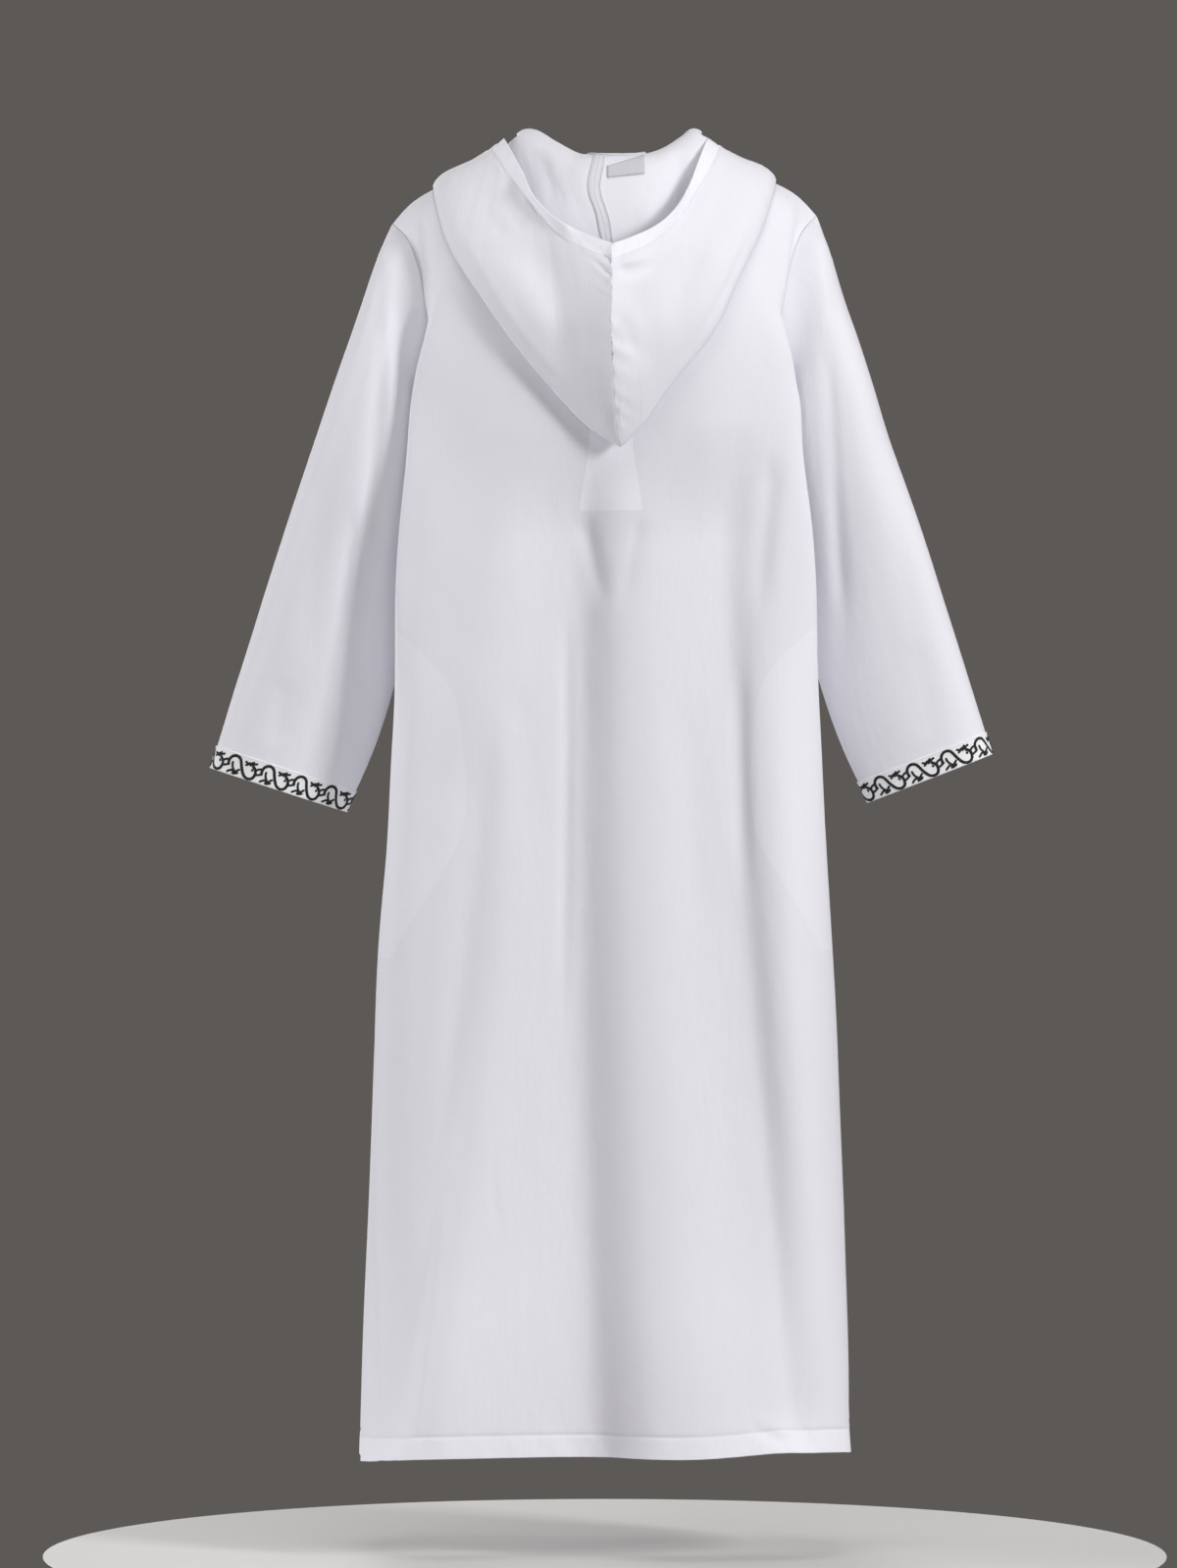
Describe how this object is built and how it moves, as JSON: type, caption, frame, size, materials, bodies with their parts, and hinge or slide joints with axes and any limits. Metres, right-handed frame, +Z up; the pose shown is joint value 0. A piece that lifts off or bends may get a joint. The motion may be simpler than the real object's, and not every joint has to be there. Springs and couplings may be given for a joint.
{
  "type": "hooded djellaba robe",
  "caption": "Ankle-length hooded djellaba robe, filled out as it hangs from a wearer, with long sleeves, embroidered cuff trims, neck slit and hood down the back.",
  "frame": {"origin": "centre of the neck at the height of the shoulders, where the wearer's shoulders hold the robe", "axes": "+Z up, +Y the way the wearer faces, +X to the wearer's right"},
  "size_m": [0.839, 0.3363, 1.4258],
  "materials": {
    "cloth": "smooth plain-weave cotton blend, matt",
    "lining": "the same plain-weave cloth, inside",
    "trim": "white woven ribbon with black corded embroidery",
    "label": "blank grey woven label"
  },
  "bodies": {
    "root": {"back_panel": "cloth", "front_panel": "cloth", "sleeve_left": "cloth", "sleeve_right": "cloth", "cuff_trim_left": "trim", "cuff_trim_right": "trim", "hood_left": "cloth", "hood_right": "cloth", "neck_facing": "lining", "neck_label": "label", "pocket_bag_left": "lining", "pocket_bag_right": "lining"}
  },
  "joints": []
}
